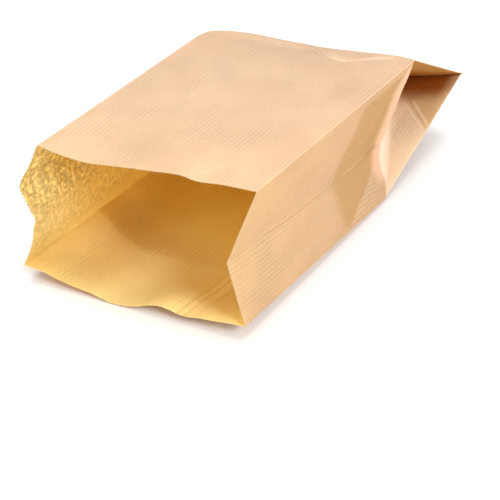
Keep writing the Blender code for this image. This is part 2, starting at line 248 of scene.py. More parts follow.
def facet(s, v, tri):
    (s0, v0, a), (s1, v1, b), (s2, v2, c) = tri
    d = (s1 - s0) * (v2 - v0) - (s2 - s0) * (v1 - v0)
    w1 = ((s - s0) * (v2 - v0) - (s2 - s0) * (v - v0)) / d
    w2 = ((s1 - s0) * (v - v0) - (s - s0) * (v1 - v0)) / d
    w0 = 1.0 - w1 - w2
    if min(w0, w1, w2) < -1e-6:
        return None
    return a * w0 + b * w1 + c * w2


def gusset_half(s, v, outer, crease, bend, v_bend, ridge, side, level):
    q = s / HALF
    v_edge = v_bend + (V_RIDGE - v_bend) * q
    if v <= v_edge:
        k = v / v_edge
        start = outer(0.0) * (1.0 - q) + crease(0.0) * q
        end = bend * (1.0 - q) + ridge * q
        p = start + (end - start) * k
        vc = V_RIDGE * k
        line = crease(0.0) + (ridge - crease(0.0)) * k
        p += (crease(vc) - line) * q
        return p
    side_in = side - math.copysign(HALF, side)
    corner = pinch_line(side, level)
    inner = pinch_line(side_in, 0.0)
    p = None
    for tri in (((0.0, v_bend, bend), (HALF, V_RIDGE, ridge), (HALF, V_PINCH, inner)),
                ((0.0, v_bend, bend), (HALF, V_PINCH, inner), (0.0, V_PINCH, corner))):
        p = facet(s, v, tri)
        if p is not None:
            break
    k = max(0.0, (v - v_edge) / (V_PINCH - v_edge))
    chord = corner * (1.0 - q) + inner * q
    curve = pinch_line(side - math.copysign(s, side), 0.5 * level)
    return p + (curve - chord) * k


def right_upper(s, v):
    return gusset_half(s, v, top_right, crease_right, TOP_R_CREST, V_CREST, RIDGE_R, PINCH_R[0], 1.0)


def right_lower(s, v):
    return gusset_half(s, v, low_right, crease_right, LOW_R_HEEL, V_HEEL, RIDGE_R, PINCH_R[0], -1.0)


def left_edge(s, v, p, q0):
    """The left gusset follows its measured edge at the mouth and lets go of it inwards."""
    base = q0
    target = np.array([smooth_curve(s, LEFT_EDGE, 1), base[1], smooth_curve(s, LEFT_EDGE, 2)])
    hold = math.exp(-(v / 85.0) ** 1.6)
    return p + (target - base) * hold


def left_upper(s, v):
    args = (top_left, crease_left, TOP_L_CREST, V_CREST, RIDGE_L, PINCH_L[0], 1.0)
    p = left_edge(s, v, gusset_half(s, v, *args), gusset_half(s, 0.0, *args))
    p[2] += round_off(v, 30.0) * (1.0 - ease(s / 40.0))
    return p


def left_lower(s, v):
    args = (low_left, crease_left, LOW_L_HEEL, V_HEEL, RIDGE_L, PINCH_L[0], -1.0)
    return left_edge(GUSSET - s, v, gusset_half(s, v, *args), gusset_half(s, 0.0, *args))


def places(width):
    side = [FOLD_R, FOLD_NEXT] + [CELL * i for i in range(1, int(round(HALF / CELL)) + 1)]
    if width <= HALF:
        return side[:-1] + [width - FOLD_NEXT, width - FOLD_R]
    inner = int(round((width - 2 * HALF) / 4.0))
    return side + [HALF + 4.0 * i for i in range(1, inner)] + [width - s for s in reversed(side)]


RING = [
    (front_panel, WIDTH, False, places(WIDTH), 0.0),
    (right_upper, HALF, False, places(HALF), 200.0),
    (right_lower, HALF, True, places(HALF), 260.0),
    (back_panel, WIDTH, False, places(WIDTH), 320.0),
    (left_lower, HALF, False, places(HALF), 520.0),
    (left_upper, HALF, True, places(HALF), 580.0),
]
STACK = [3, 2, 1, 0, 1, 2]
BEND_OF = {2: V_CREST, 1: V_RIDGE, 0: V_HEEL}
HALF_QS = sorted(set([0.0, 1.0] + [s / HALF for s in places(HALF)[1:-1]]))


def make_rows():
    rows = [3.0 + ROW * i for i in range(int((V_RIDGE - 4.0) / ROW))]
    found = []
    for start, stop in ((V_CREST, V_RIDGE), (V_CREST, V_PINCH), (V_HEEL, V_PINCH)):
        found += [round(start + (stop - start) * q, 4) for q in HALF_QS]
    return [r for r in rows if r < V_RIDGE - 1.0] + sorted(set(found))


ROWS = make_rows()


def on_panel(i, s, v):
    fn, width, back = RING[i][:3]
    return fn(width - s if back else s, v)


def sheet(i, s, v):
    p = on_panel(i, s, v)
    width = RING[i][1]
    if s <= FOLD_R:
        j = (i - 1) % len(RING)
        other = on_panel(j, RING[j][1] - FOLD_R, v)
    elif s >= width - FOLD_R:
        j = (i + 1) % len(RING)
        other = on_panel(j, FOLD_R, v)
    else:
        j, other = i, p
    if j != i:
        d = p - other
        gap = np.linalg.norm(d)
        here, there = STACK[i], STACK[j]
        if v >= BEND_OF[min(here, there)]:
            d = np.array([0.0, 0.0, math.copysign(max(gap, LAYER), here - there)])
        elif gap < LAYER:
            d = d * (LAYER / gap)
        p = 0.5 * (p + other + d)
    return np.array([p[0], p[1] - ORIGIN_Y, p[2] + WALL / 2.0])


def fractal(x, y, size, seed, octaves=3):
    """Seeded noise of about -1 to 1, over a feature size in mm."""
    return noise.fractal(Vector((x / size + 17.3 * seed, y / size - 9.1 * seed, 3.7 * seed)), 0.9, 2.1, octaves)


def relief(i, s, v):
    """How far the sheet stands out of its plain folds, mm, outwards positive."""
    width = RING[i][1]
    u = RING[i][4] + s
    edge = min(s, width - s)
    hold = ease((edge - 0.6) / 8.0)
    end_hold = ease((V_PINCH - 12.0 - v) / 25.0)
    d = 0.0
    if i == 0:
        d += 0.55 * fractal(u, v * 0.5, 34.0, 1.0) * ease(v / 12.0)
        # the front panel's slight hollows near its bend
        d -= 3.0 * bell(s, 137.0, 15.0, 17.0) * bell(v, 306.0, 11.0, 22.0)
        d += 0.8 * bell(s, 165.0, 16.0, 14.0) * bell(v, 300.0, 14.0, 20.0)
        d *= ease((V_PINCH - v) / 40.0)
    elif i in (1, 2):
        g = s if i == 1 else HALF + s          # 0 at the top fold, 120 at the low fold
        edge_v = ridge_row(g)
        near = smooth_curve(g, VALLEY_FROM)
        if near < v < edge_v:
            # one flat fall inwards from a soft crease, then a short rise onto the ridge
            turn = min(smooth_curve(g, VALLEY_TO), edge_v - 16.0)
            if v < turn:
                k = (v - near) / (turn - near)
                fall = (k - 0.06 * (1.0 - math.exp(-k / 0.06))) / 0.94
            else:
                fall = 1.0 - ease((v - turn) / (edge_v - turn))
            d -= 4.0 * fall * ease(min(g, GUSSET - g) / 24.0)
        if v < edge_v:
            d += 0.35 * fractal(u, v * 0.6, 34.0, 2.0)
            # soft dents beside the crease, behind the mouth
            d -= 2.4 * bell(g, 57.0, 10.0, 8.0) * bell(v, 50.0, 14.0, 20.0)
            d += 1.7 * bell(g, 72.0, 7.0, 9.0) * bell(v, 38.0, 8.0, 9.0)
            d -= 0.9 * bell(g, 34.0, 12.0, 14.0) * bell(v, 30.0, 14.0, 24.0)
        else:
            d += 0.6 * fractal(u, v, 26.0, 3.0) * (1.0 - ease((g - 85.0) / 12.0))
        hold = ease((edge - 0.6) / 6.0) if (i == 1 and g < 30) or (i == 2 and g > 90) else ease((edge + 2.0) / 6.0)
    elif i == 3:
        d += 0.25 * fractal(u, v * 0.5, 36.0, 4.0) * ease(v / 10.0)
        d = min(d, 0.0) * (1.0 - ease((v - 200.0) / 30.0)) if v > 40 else d
    else:
        # the left gusset is crumpled all over behind the mouth
        g = GUSSET - s if i == 4 else HALF - s     # from the top fold down
        soft = math.exp(-(v / 150.0) ** 2) * (1.0 - 0.75 * ease((g - 62.0) / 30.0))
        d += soft * (2.2 * fractal(u, v, 19.0, 5.0) + 1.9 * fractal(u, v * 1.2, 9.5, 6.0, 2))
        d += (1.0 - soft) * 0.6 * fractal(u, v, 30.0, 7.0)
        d *= 0.12 + 0.88 * ease(v / 11.0)
    d *= hold * end_hold
    if i == 2 and v > V_HEEL and s > 30.0:
        # past the heel it lies clear of the back panel under it
        d += 0.35 * ease((v - V_HEEL) / 4.0) * ease(edge / 2.5) * end_hold
    return d


def ridge_row(g):
    """Row of the ridge across the right gusset."""
    return V_CREST + (V_RIDGE - V_CREST) * g / HALF if g < HALF else V_RIDGE


def slanting_folds(i, s0, s1):
    width, back = RING[i][1], RING[i][2]
    if width != HALF:
        return []
    ends = []
    for s in (s0, s1):
        q = (width - s if back else s) / HALF
        q = min(HALF_QS, key=lambda c: abs(c - q))
        v_bend = V_CREST if STACK[i] == 2 else V_HEEL
        lines = (v_bend + (V_RIDGE - v_bend) * q, v_bend + (V_PINCH - v_bend) * q)
        ends.append([int(np.argmin([abs(v - r) for r in ROWS])) for v in lines])
    return list(zip(*ends))


def zip_pairs(pairs):
    last = len(ROWS) - 1
    low = min([last] + [min(p) for p in pairs])
    stops = [(r, r) for r in range(low + 1)] + [p for p in pairs if max(p) > low]
    if stops[-1] != (last, last):
        stops.append((last, last))
    out = []
    for (a0, b0), (a1, b1) in zip(stops, stops[1:]):
        a, b = a0, b0
        while a < a1 or b < b1:
            ta = (a + 0.5 - a0) / (a1 - a0) if a < a1 else 2.0
            tb = (b + 0.5 - b0) / (b1 - b0) if b < b1 else 2.0
            if abs(ta - tb) < 1e-9:
                out.append(([a, a + 1], [b, b + 1]))
                a, b = a + 1, b + 1
            elif ta < tb:
                out.append(([a, a + 1], [b]))
                a += 1
            else:
                out.append(([a], [b, b + 1]))
                b += 1
    return out


def build_bag():
    columns = [(i, s) for i, panel in enumerate(RING) for s in panel[3]]
    n = len(columns)
    rows = [0.0] + ROWS
    pts = np.array([[sheet(i, s, v) for i, s in columns] for v in rows])
    # normals of each panel by differences, to stand the relief on
    out = pts.copy()
    first = 0
    for i, panel in enumerate(RING):
        m = len(panel[3])
        block = pts[:, first:first + m]
        ds = np.gradient(block, axis=1)
        dv = np.gradient(block, axis=0)
        nrm = np.cross(dv, ds)
        nrm /= np.maximum(np.linalg.norm(nrm, axis=2, keepdims=True), 1e-9)
        for r, v in enumerate(rows):
            for c in range(m):
                out[r, first + c] += nrm[r, c] * relief(i, panel[3][c], v)
        first += m
    # which way is out: the front panel's normal must point up
    first = 0
    block = pts[:, :len(RING[0][3])]
    up = np.cross(np.gradient(block, axis=0), np.gradient(block, axis=1))[40, 30][2]
    if up < 0:
        out = 2 * pts - out
    for c, (i, s) in enumerate(columns):
        if i in (1, 2):
            g = s if i == 1 else HALF + s
            bow = smooth_curve(g, RIDGE_BOW)
            for r, v in enumerate(rows):
                out[r, c, 1] -= bow * math.exp(-((v - ridge_row(g)) / 45.0) ** 2)
    out[:, :, 2] = np.maximum(out[:, :, 2], WALL / 2.0)

    bm = bmesh.new()
    uv = bm.loops.layers.uv.new("sheet")
    flat = {}

    def vert(p, s_total, v):
        w = bm.verts.new(p * MM)
        flat[w] = (s_total, v)
        return w

    grid = [[vert(out[r + 1, c], RING[columns[c][0]][4] + columns[c][1], ROWS[r]) for c in range(n)]
            for r in range(len(ROWS))]
    for c in range(n):
        d = (c + 1) % n
        (i, s0), (j, s1) = columns[c], columns[d]
        pairs = slanting_folds(i, s0, s1) if i == j else []
        for a, b in zip_pairs(pairs):
            bm.faces.new([grid[r][c] for r in reversed(a)] + [grid[r][d] for r in b])
    # the zigzag cut
    count = 0
    rim = []
    for c in range(n):
        d = (c + 1) % n
        (i, s0), (j, s1) = columns[c], columns[d]
        steps = max(1, int(round((s1 - s0) / HALF_TOOTH))) if i == j else 1
        row = []
        for k in range(steps):
            depth = TOOTH_DEPTH if count % 2 else 0.0
            depth += 0.12 * noise.noise(Vector((count * 0.7, 2.0, 0.0)))
            a = out[0, c] + (out[1, c] - out[0, c]) * (depth / ROWS[0])
            b = out[0, d] + (out[1, d] - out[0, d]) * (depth / ROWS[0])
            s_here = RING[i][4] + s0 + ((s1 - s0) if i == j else 2 * FOLD_R) * k / steps
            row.append(vert(a + (b - a) * k / steps, s_here, depth))
            count += 1
        rim.append(row)
    for c in range(n):
        d = (c + 1) % n
        line = rim[c] + [rim[d][0]]
        mid = (len(line) - 1) // 2
        for k in range(len(line) - 1):
            bm.faces.new((line[k], line[k + 1], grid[0][c] if k < mid else grid[0][d]))
        bm.faces.new((line[mid], grid[0][d], grid[0][c]))
    bmesh.ops.recalc_face_normals(bm, faces=bm.faces)
    top = max(bm.faces, key=lambda f: f.calc_center_median().z - 10 * abs(f.calc_center_median().x) * 0.01)
    if top.normal.z < 0:
        bmesh.ops.reverse_faces(bm, faces=bm.faces)
    for f in bm.faces:
        f.smooth = True
        around = [flat[l.vert][0] for l in f.loops]
        for l in f.loops:
            s, v = flat[l.vert]
            if max(around) - min(around) > 300 and s < 300:
                s += 640.0
            l[uv].uv = (s * MM, v * MM)
    mesh = bpy.data.meshes.new("bag_sheet")
    bm.to_mesh(mesh)
    bm.free()
    return mesh


def build_end_fold():
    """The folded edge: every glued layer rolled over the pinched line."""
    bm = bmesh.new()
    uv = bm.loops.layers.uv.new("sheet")
    top, low, lead = 1.5 * LAYER + 0.2, -1.5 * LAYER - 0.85, 0.8
    r1 = 0.5 * (top - low)
    c1 = 0.5 * (top + low)
    section = [(-lead, top), (0.6, top)]
    for i in range(0, 9):
        a = math.pi / 2 - math.pi * i / 8
        section.append((ROLL - r1 + r1 * math.cos(a), c1 + r1 * math.sin(a)))
    section += [(0.6, low), (-lead, low)]
    count = 160
    rings = []
    for i in range(count + 1):
        x = PINCH_L[0] - 0.05 + (PINCH_R[0] - PINCH_L[0] + 0.1) * i / count
        base = pinch_line(x, 0.0)
        wave = 0.25 * noise.noise(Vector((x / 11.0, 0.0, 5.0)))
        ring = []
        for y, z in section:
            far = ease(y / ROLL)
            p = Vector((x, base[1] + y - ORIGIN_Y + 0.3 * far * noise.noise(Vector((x / 9.0, 3.0, 1.0))),
                        base[2] + z - 0.07 * y + wave * far + WALL / 2)) * MM
            ring.append(bm.verts.new(p))
        rings.append(ring)
    m = len(section)
    for i in range(count):
        for k in range(m):
            j = (k + 1) % m
            f = bm.faces.new((rings[i][k], rings[i][j], rings[i + 1][j], rings[i + 1][k]))
            f.smooth = True
            for l, (a, b) in zip(f.loops, ((i, k), (i, k + 1), (i + 1, k + 1), (i + 1, k))):
                l[uv].uv = (0.2 * a / count, 0.446 + 0.0006 * b)
    bm.faces.new(rings[0])
    bm.faces.new(rings[-1])
    # the flap turned under the back panel
    stops = [0.8] + RING[3][3][2:-2] + [WIDTH - 0.8]
    rows = [V_PINCH - END_LAP + (END_LAP - 0.1) * k / 6 for k in range(7)]
    top_skin = [[sheet(3, s, v) for s in stops] for v in rows]
    top_skin[0] = [p + np.array([0.0, 0.3 * noise.noise(Vector((s / 8.0, 1.0, 2.0))), 0.0])
                   for p, s in zip(top_skin[0], stops)]
    down = np.array([0.0, 0.0, -0.8])
    up = [[bm.verts.new(p * MM) for p in line] for line in top_skin]
    lo = [[bm.verts.new((p + down) * MM) for p in line] for line in top_skin]
    n = len(stops)

    def face(quad, uvs):
        f = bm.faces.new(quad)
        for l, (a, b) in zip(f.loops, uvs):
            l[uv].uv = ((320.0 + stops[b]) * MM, rows[a] * MM)

    for i in range(len(rows) - 1):
        for k in range(n - 1):
            near = ((i, k), (i, k + 1), (i + 1, k + 1), (i + 1, k))
            for g in (up, lo):
                face([g[a][b] for a, b in near], near)
        for k in (0, n - 1):
            face((lo[i][k], up[i][k], up[i + 1][k], lo[i + 1][k]), ((i, k), (i, k), (i + 1, k), (i + 1, k)))
    for i in (0, len(rows) - 1):
        for k in range(n - 1):
            face((lo[i][k], lo[i][k + 1], up[i][k + 1], up[i][k]), ((i, k), (i, k + 1), (i, k + 1), (i, k)))
    bmesh.ops.recalc_face_normals(bm, faces=bm.faces)
    mesh = bpy.data.meshes.new("end_fold")
    bm.to_mesh(mesh)
    bm.free()
    return mesh


def build_lap():
    """The second thickness of the glued lap, inside the back panel."""
    bm = bmesh.new()
    uv = bm.loops.layers.uv.new("sheet")
    cols = [WIDTH / 2 - LAP_OUTER + 1.5 * i for i in range(11)]
    rows = [1.6 + 3.0 * i for i in range(int((V_PINCH - 20.0) / 3.0))]
    grid = []
    for v in rows:
        line = []
        for s in cols:
            p = sheet(3, s, v)
            p[2] += relief(3, s, v) * -1.0 + 0.16
            line.append(bm.verts.new(p * MM))
        grid.append(line)
    for r in range(len(rows) - 1):
        for c in range(len(cols) - 1):
            f = bm.faces.new((grid[r][c], grid[r][c + 1], grid[r + 1][c + 1], grid[r + 1][c]))
            f.smooth = True
            for l, (a, b) in zip(f.loops, ((r, c), (r, c + 1), (r + 1, c + 1), (r + 1, c))):
                l[uv].uv = ((320.0 + cols[b]) * MM, rows[a] * MM)
    bmesh.ops.recalc_face_normals(bm, faces=bm.faces)
    if bm.faces[:][0].normal.z < 0:
        bmesh.ops.reverse_faces(bm, faces=bm.faces)
    mesh = bpy.data.meshes.new("back_lap")
    bm.to_mesh(mesh)
    bm.free()
    return mesh


# ---- paper ------------------------------------------------------------------------
class Net:
    def __init__(self, mat):
        mat.use_nodes = True
        self.t = mat.node_tree
        self.t.nodes.clear()

    def add(self, kind, **fields):
        node = self.t.nodes.new(kind)
        for k, v in fields.items():
            setattr(node, k, v)
        return node

    def put(self, node, name, value):
        if isinstance(value, bpy.types.NodeSocket):
            self.t.links.new(value, node.inputs[name])
        else:
            node.inputs[name].default_value = value

    def math(self, op, a, b=0.0, c=0.0, clamp=False):
        node = self.add("ShaderNodeMath", operation=op, use_clamp=clamp)
        for i, x in enumerate((a, b, c)):
            self.put(node, i, x)
        return node.outputs[0]

    def range(self, x, a, b, c, d):
        node = self.add("ShaderNodeMapRange", interpolation_type="SMOOTHSTEP")
        for name, val in (("Value", x), ("From Min", a), ("From Max", b), ("To Min", c), ("To Max", d)):
            self.put(node, name, val)
        return node.outputs["Result"]

    def noise(self, vec, scale, detail=3.0, rough=0.5, lift=0.0):
        node = self.add("ShaderNodeTexNoise")
        self.put(node, "Vector", vec)
        self.put(node, "Scale", scale)
        self.put(node, "Detail", detail)
        self.put(node, "Roughness", rough)
        return node.outputs["Fac"]

    def curve(self, x, knots):
        """Straight runs between knots given in 0..1."""
        node = self.add("ShaderNodeFloatCurve")
        line = node.mapping.curves[0]
        while len(line.points) < len(knots):
            line.points.new(0.5, 0.5)
        for point, (a, b) in zip(line.points, knots):
            point.location = (a, b)
            point.handle_type = "AUTO"
        node.mapping.update()
        self.put(node, "Value", x)
        return node.outputs[0]

    def mix(self, fac, a, b, blend="MIX"):
        node = self.add("ShaderNodeMix", data_type="RGBA", blend_type=blend)
        self.put(node, 0, fac)
        self.put(node, 6, a)
        self.put(node, 7, b)
        return node.outputs[2]


def paper(name, base, dark, light, glow, inside):
    mat = bpy.data.materials.new(name)
    net = Net(mat)
    out = net.add("ShaderNodeOutputMaterial")
    uvn = net.add("ShaderNodeUVMap", uv_map="sheet")
    sep = net.add("ShaderNodeSeparateXYZ")
    net.put(sep, 0, uvn.outputs[0])
    u, v = sep.outputs[0], sep.outputs[1]

    def stretched(su, sv, off):
        comb = net.add("ShaderNodeCombineXYZ")
        net.put(comb, 0, net.math("MULTIPLY", u, su))
        net.put(comb, 1, net.math("MULTIPLY", v, sv))
        net.put(comb, 2, off)
        return comb.outputs[0]

    even = stretched(1.0, 1.0, 0.0)
    along = stretched(1.0, 0.08, 1.0)
    # ribs along the length, 4.1 mm apart and a little uneven
    wander = net.math("MULTIPLY", net.math("SUBTRACT", net.noise(stretched(1.0, 0.6, 2.0), 60.0, 2.0), 0.5), 0.0004)
    turns = net.math("MULTIPLY", net.math("ADD", u, wander), 2.0 * math.pi / 0.0041)
    wave = net.math("SINE", turns)
    rib = net.math("POWER", net.math("MULTIPLY_ADD", wave, 0.5, 0.5), 3.0)
    rib2 = net.math("MULTIPLY_ADD", net.math("SINE", net.math("MULTIPLY", turns, 3.0)), 0.5, 0.5)
    patchy = net.range(net.noise(stretched(1.0, 0.55, 3.0), 26.0, 3.0), 0.38, 0.68, 0.10, 1.0)
    rib_here = net.math("MULTIPLY", rib, patchy)
    # fibres, clouds and specks
    fibre = net.noise(stretched(1.0, 0.16, 4.0), 900.0, 3.0, 0.6)
    grain = net.noise(even, 1500.0, 2.0, 0.6)
    cloud = net.noise(stretched(1.0, 0.7, 5.0), 22.0, 4.0, 0.55)
    broad = net.noise(stretched(1.0, 0.8, 6.0), 7.0, 2.0, 0.5)
    tone = net.math("ADD", net.math("MULTIPLY", cloud, 0.6), net.math("MULTIPLY", broad, 0.4))
    col = net.mix(net.range(tone, 0.33, 0.67, 0.0, 1.0), dark, light)
    col = net.mix(0.45, col, base)
    shade = net.math("SUBTRACT", 1.0, net.math("MULTIPLY", rib_here, 0.15 if not inside else 0.11))
    shade = net.math("MULTIPLY", shade, net.range(fibre, 0.25, 0.75, 0.955, 1.045))
    shade = net.math("MULTIPLY", shade, net.range(grain, 0.3, 0.7, 0.975, 1.025))
    left = net.range(u, 0.515, 0.545, 0.0, 1.0)
    deep = net.range(v, 0.13, 0.30, 1.0, 0.20)
    low_left = net.range(u, 0.555, 0.585, 0.50, 1.0)
    crumpled = net.math("MULTIPLY", net.math("MULTIPLY", left, deep), low_left)
    crumple = net.noise(stretched(1.0, 0.9, 8.0), 200.0, 3.0, 0.6)
    creases = net.math("ABSOLUTE", net.math("SUBTRACT", net.noise(stretched(0.9, 1.0, 9.0), 165.0, 2.0, 0.5), 0.5))
    crumple = net.math("ADD", crumple, net.math("MULTIPLY", creases, 1.6))
    mottle = net.range(crumple, 0.45, 0.85, -0.25, 0.25)
    # on the crumpled left gusset the tone follows the crumple's height: partly paper mottling, partly painted shade of
    # the crumples
    if inside:
        shade = net.math("ADD", shade, net.math("MULTIPLY", mottle, crumpled))
    # dark flecks of fibre
    fleck = net.range(net.noise(stretched(1.0, 0.35, 7.0), 420.0, 1.0, 0.4), 0.70, 0.80, 0.0, 0.10)
    shade = net.math("SUBTRACT", shade, fleck)
    if inside:
        for place, w, h in ((0.380, 0.0009, 0.17), (0.3735, 0.0010, 0.15), (0.365, 0.0007, 0.06)):
            off = net.math("ABSOLUTE", net.math("SUBTRACT", u, place))
            shade = net.math("SUBTRACT", shade, net.range(off, 0.0, w, h, 0.0))
    grey = net.add("ShaderNodeCombineColor")
    for i in range(3):
        net.put(grey, i, shade)
    col = net.mix(1.0, col, grey.outputs[0], "MULTIPLY")
    if inside:
        # painted shade: the inner left gusset is toned down near the mouth
        side = net.math("MULTIPLY", net.range(u, 0.516, 0.524, 0.0, 1.0), net.range(v, 0.03, 0.12, 1.0, 0.0))
        col = net.mix(side, col, net.mix(1.0, col, (0.90, 0.93, 1.0, 1.0), "MULTIPLY"))
        low = net.math("MULTIPLY", net.range(u, 0.425, 0.495, 1.0, 0.0), net.range(v, 0.15, 0.26, 1.0, 0.0))
        low = net.math("MULTIPLY", low, net.range(u, 0.318, 0.322, 0.0, 1.0))
        # painted shadow: the inner floor is darker from a slanting line inwards
        lean = net.math("MULTIPLY_ADD", net.math("MAXIMUM", net.math("SUBTRACT", u, 0.460), 0.0), 0.5, 0.088)
        enter = net.math("SUBTRACT", v, lean)
        painted_floor_shadow = net.math("MULTIPLY", net.range(enter, -0.003, 0.007, 0.0, 1.0), net.range(enter, 0.012, 0.055, 1.0, 0.0))
        painted_floor_shadow = net.math("MULTIPLY", painted_floor_shadow, net.math("MULTIPLY", net.range(u, 0.400, 0.470, 0.35, 1.0), net.range(u, 0.5195, 0.5205, 1.0, 0.0)))
        painted_floor_shadow = net.math("MULTIPLY", painted_floor_shadow, net.range(u, 0.318, 0.322, 0.0, 1.0))
        col = net.mix(painted_floor_shadow, col, net.mix(1.0, col, (0.87, 0.77, 0.60, 1.0), "MULTIPLY"))
        # painted light: the inner floor is lightened towards the mouth and the right
        painted_floor_light = net.math("MULTIPLY", low, net.range(v, 0.04, 0.12, 0.12, 1.0))
        col = net.mix(painted_floor_light, col, net.mix(1.0, col, (1.05, 1.15, 1.50, 1.0), "MULTIPLY"))
    if not inside:
        # painted light: the right gusset's outside is tinted warmer, standing in for warm bounce light
        side = net.math("MULTIPLY", net.range(u, 0.1995, 0.2015, 0.0, 1.0), net.range(u, 0.3185, 0.3205, 1.0, 0.0))
        col = net.mix(side, col, net.mix(1.0, col, (1.0, 0.97, 0.83, 1.0), "MULTIPLY"))
        # painted shade: the right gusset is darker where it is pushed in before its ridge
        g = net.math("MULTIPLY", net.math("SUBTRACT", u, 0.200), 1.0 / 0.120)
        starts = net.curve(g, [(a / GUSSET, b / 400.0) for a, b in VALLEY_FROM])
        stops = net.curve(g, [(a / GUSSET, b / 400.0) for a, b in VALLEY_TO])
        row = net.math("MULTIPLY", v, 2.5)
        enter = net.math("SUBTRACT", row, starts)
        leave = net.math("SUBTRACT", stops, row)
        painted_valley_shade = net.math("MULTIPLY", net.range(enter, -0.014, 0.036, 0.0, 1.0), net.range(leave, -0.010, 0.010, 0.0, 1.0))
        painted_valley_shade = net.math("MULTIPLY", painted_valley_shade, net.range(g, 0.03, 0.09, 0.0, 1.0))
        painted_valley_shade = net.math("MULTIPLY", painted_valley_shade, net.range(g, 0.93, 0.98, 1.0, 0.0))
        col = net.mix(painted_valley_shade, col, net.mix(1.0, col, (0.90, 0.82, 0.60, 1.0), "MULTIPLY"))
        # painted light and shade inside the pockets of the closed end: the low facets painted bright, and painted dark
        # towards the pinched line
        mirrored = net.math("MINIMUM", u, net.math("SUBTRACT", 0.840, u))
        low_facet = net.math("MULTIPLY", net.range(v, 0.2685, 0.2740, 0.0, 1.0), net.range(mirrored, 0.2595, 0.2600, 0.0, 1.0))
        low_facet = net.math("MULTIPLY", low_facet, net.range(mirrored, 0.3190, 0.3205, 1.0, 0.0))
        right = net.range(u, 0.330, 0.500, 1.0, 0.35)
        painted_facet_light = net.math("MULTIPLY", low_facet, right)
        col = net.mix(painted_facet_light, col, net.mix(1.0, col, (1.50, 1.27, 1.33, 1.0), "MULTIPLY"))
        # painted shade on the outer part of the low facet
        painted_outer_facet_shade = net.range(net.math("MULTIPLY_ADD", v, 0.8, mirrored), 0.604, 0.616, 0.0, 1.0)
        painted_outer_facet_shade = net.math("MULTIPLY", low_facet, painted_outer_facet_shade)
        col = net.mix(painted_outer_facet_shade, col, net.mix(1.0, col, (0.84, 0.74, 0.56, 1.0), "MULTIPLY"))
        # painted shade deep in the pocket, towards the pinched line
        painted_pocket_shade = net.math("MULTIPLY", net.range(v, 0.398, 0.430, 0.0, 1.0), net.range(mirrored, 0.306, 0.319, 1.0, 0.3))
        painted_pocket_shade = net.math("MULTIPLY", low_facet, painted_pocket_shade)
        col = net.mix(painted_pocket_shade, col, net.mix(1.0, col, (0.44, 0.17, 0.03, 1.0), "MULTIPLY"))
        # painted shade, orange as from light through the paper, on the upper half of each gusset past the ridge
        behind = net.math("ADD", v, net.math("MULTIPLY", net.math("SUBTRACT", mirrored, 0.200), 0.742))
        upper = net.math("MULTIPLY", net.range(behind, 0.313, 0.321, 0.0, 1.0), net.range(mirrored, 0.2600, 0.2605, 1.0, 0.0))
        upper = net.math("MULTIPLY", upper, net.range(mirrored, 0.2005, 0.2035, 0.0, 1.0))
        upper = net.math("MULTIPLY", upper, right)
        col = net.mix(upper, col, net.mix(1.0, col, (0.84, 0.74, 0.40, 1.0), "MULTIPLY"))
        # painted shade also on the face of the end fold that closes the pockets
        painted_end_shade = net.range(v, 0.45318, 0.45326, 0.0, 1.0)
        col = net.mix(painted_end_shade, col, net.mix(1.0, col, (0.50, 0.20, 0.06, 1.0), "MULTIPLY"))
        # painted highlights: two pale lines run down the low facet, along creases
        for at, lean, a, b in ((0.2940, 0.82, 0.360, 0.410), (0.3020, 0.76, 0.366, 0.414)):
            line = net.math("SUBTRACT", mirrored, net.math("MULTIPLY_ADD", net.math("SUBTRACT", 0.392, v), lean, at))
            run = net.math("MULTIPLY", net.range(v, a, a + 0.012, 0.0, 1.0), net.range(v, b - 0.012, b, 1.0, 0.0))
            painted_crease_lines = net.math("MULTIPLY", net.range(net.math("ABSOLUTE", line), 0.0, 0.0024, 0.60, 0.0), run)
            col = net.mix(net.math("MULTIPLY", painted_crease_lines, low_facet), col, (0.88, 0.78, 0.63, 1.0))
        # a pale glint on the bend of the front panel
        arc = net.math("POWER", net.math("SUBTRACT", u, 0.150), 2.0)
        arc = net.math("SUBTRACT", v, net.math("MULTIPLY_ADD", arc, 7.0, 0.3000))
        glint = net.math("MULTIPLY", net.range(u, 0.112, 0.135, 0.0, 1.0), net.range(u, 0.165, 0.190, 1.0, 0.0))
        glint = net.math("MULTIPLY", glint, net.math("MULTIPLY", net.range(arc, -0.002, 0.001, 0.0, 0.45), net.range(arc, 0.003, 0.015, 1.0, 0.0)))
        col = net.mix(glint, col, (0.78, 0.80, 0.74, 1.0))
        # painted highlights along the long folds, and painted shade and highlight along the centre crease of the right
        # gusset
        for place in (0.0, 0.200, 0.320, 0.520, 0.640):
            off = net.math("ABSOLUTE", net.math("SUBTRACT", u, place))
            col = net.mix(net.range(off, 0.0003, 0.0016, 0.35, 0.0), col, (0.70, 0.60, 0.47, 1.0))
        off = net.math("ABSOLUTE", net.math("SUBTRACT", u, 0.2600))
        thread = net.range(off, 0.0, 0.0011, 1.0, 0.0)
        painted_crease_shade = net.math("MULTIPLY", net.range(v, 0.045, 0.070, 0.0, 1.0), net.range(v, 0.165, 0.176, 1.0, 0.0))
        painted_crease_light = net.math("MULTIPLY", net.range(v, 0.174, 0.184, 0.0, 1.0), net.range(v, 0.228, 0.238, 1.0, 0.0))
        col = net.mix(net.math("MULTIPLY", thread, net.math("MULTIPLY", painted_crease_shade, 0.50)), col, (0.42, 0.26, 0.13, 1.0))
        col = net.mix(net.math("MULTIPLY", thread, net.math("MULTIPLY", painted_crease_light, 0.40)), col, (0.74, 0.64, 0.51, 1.0))
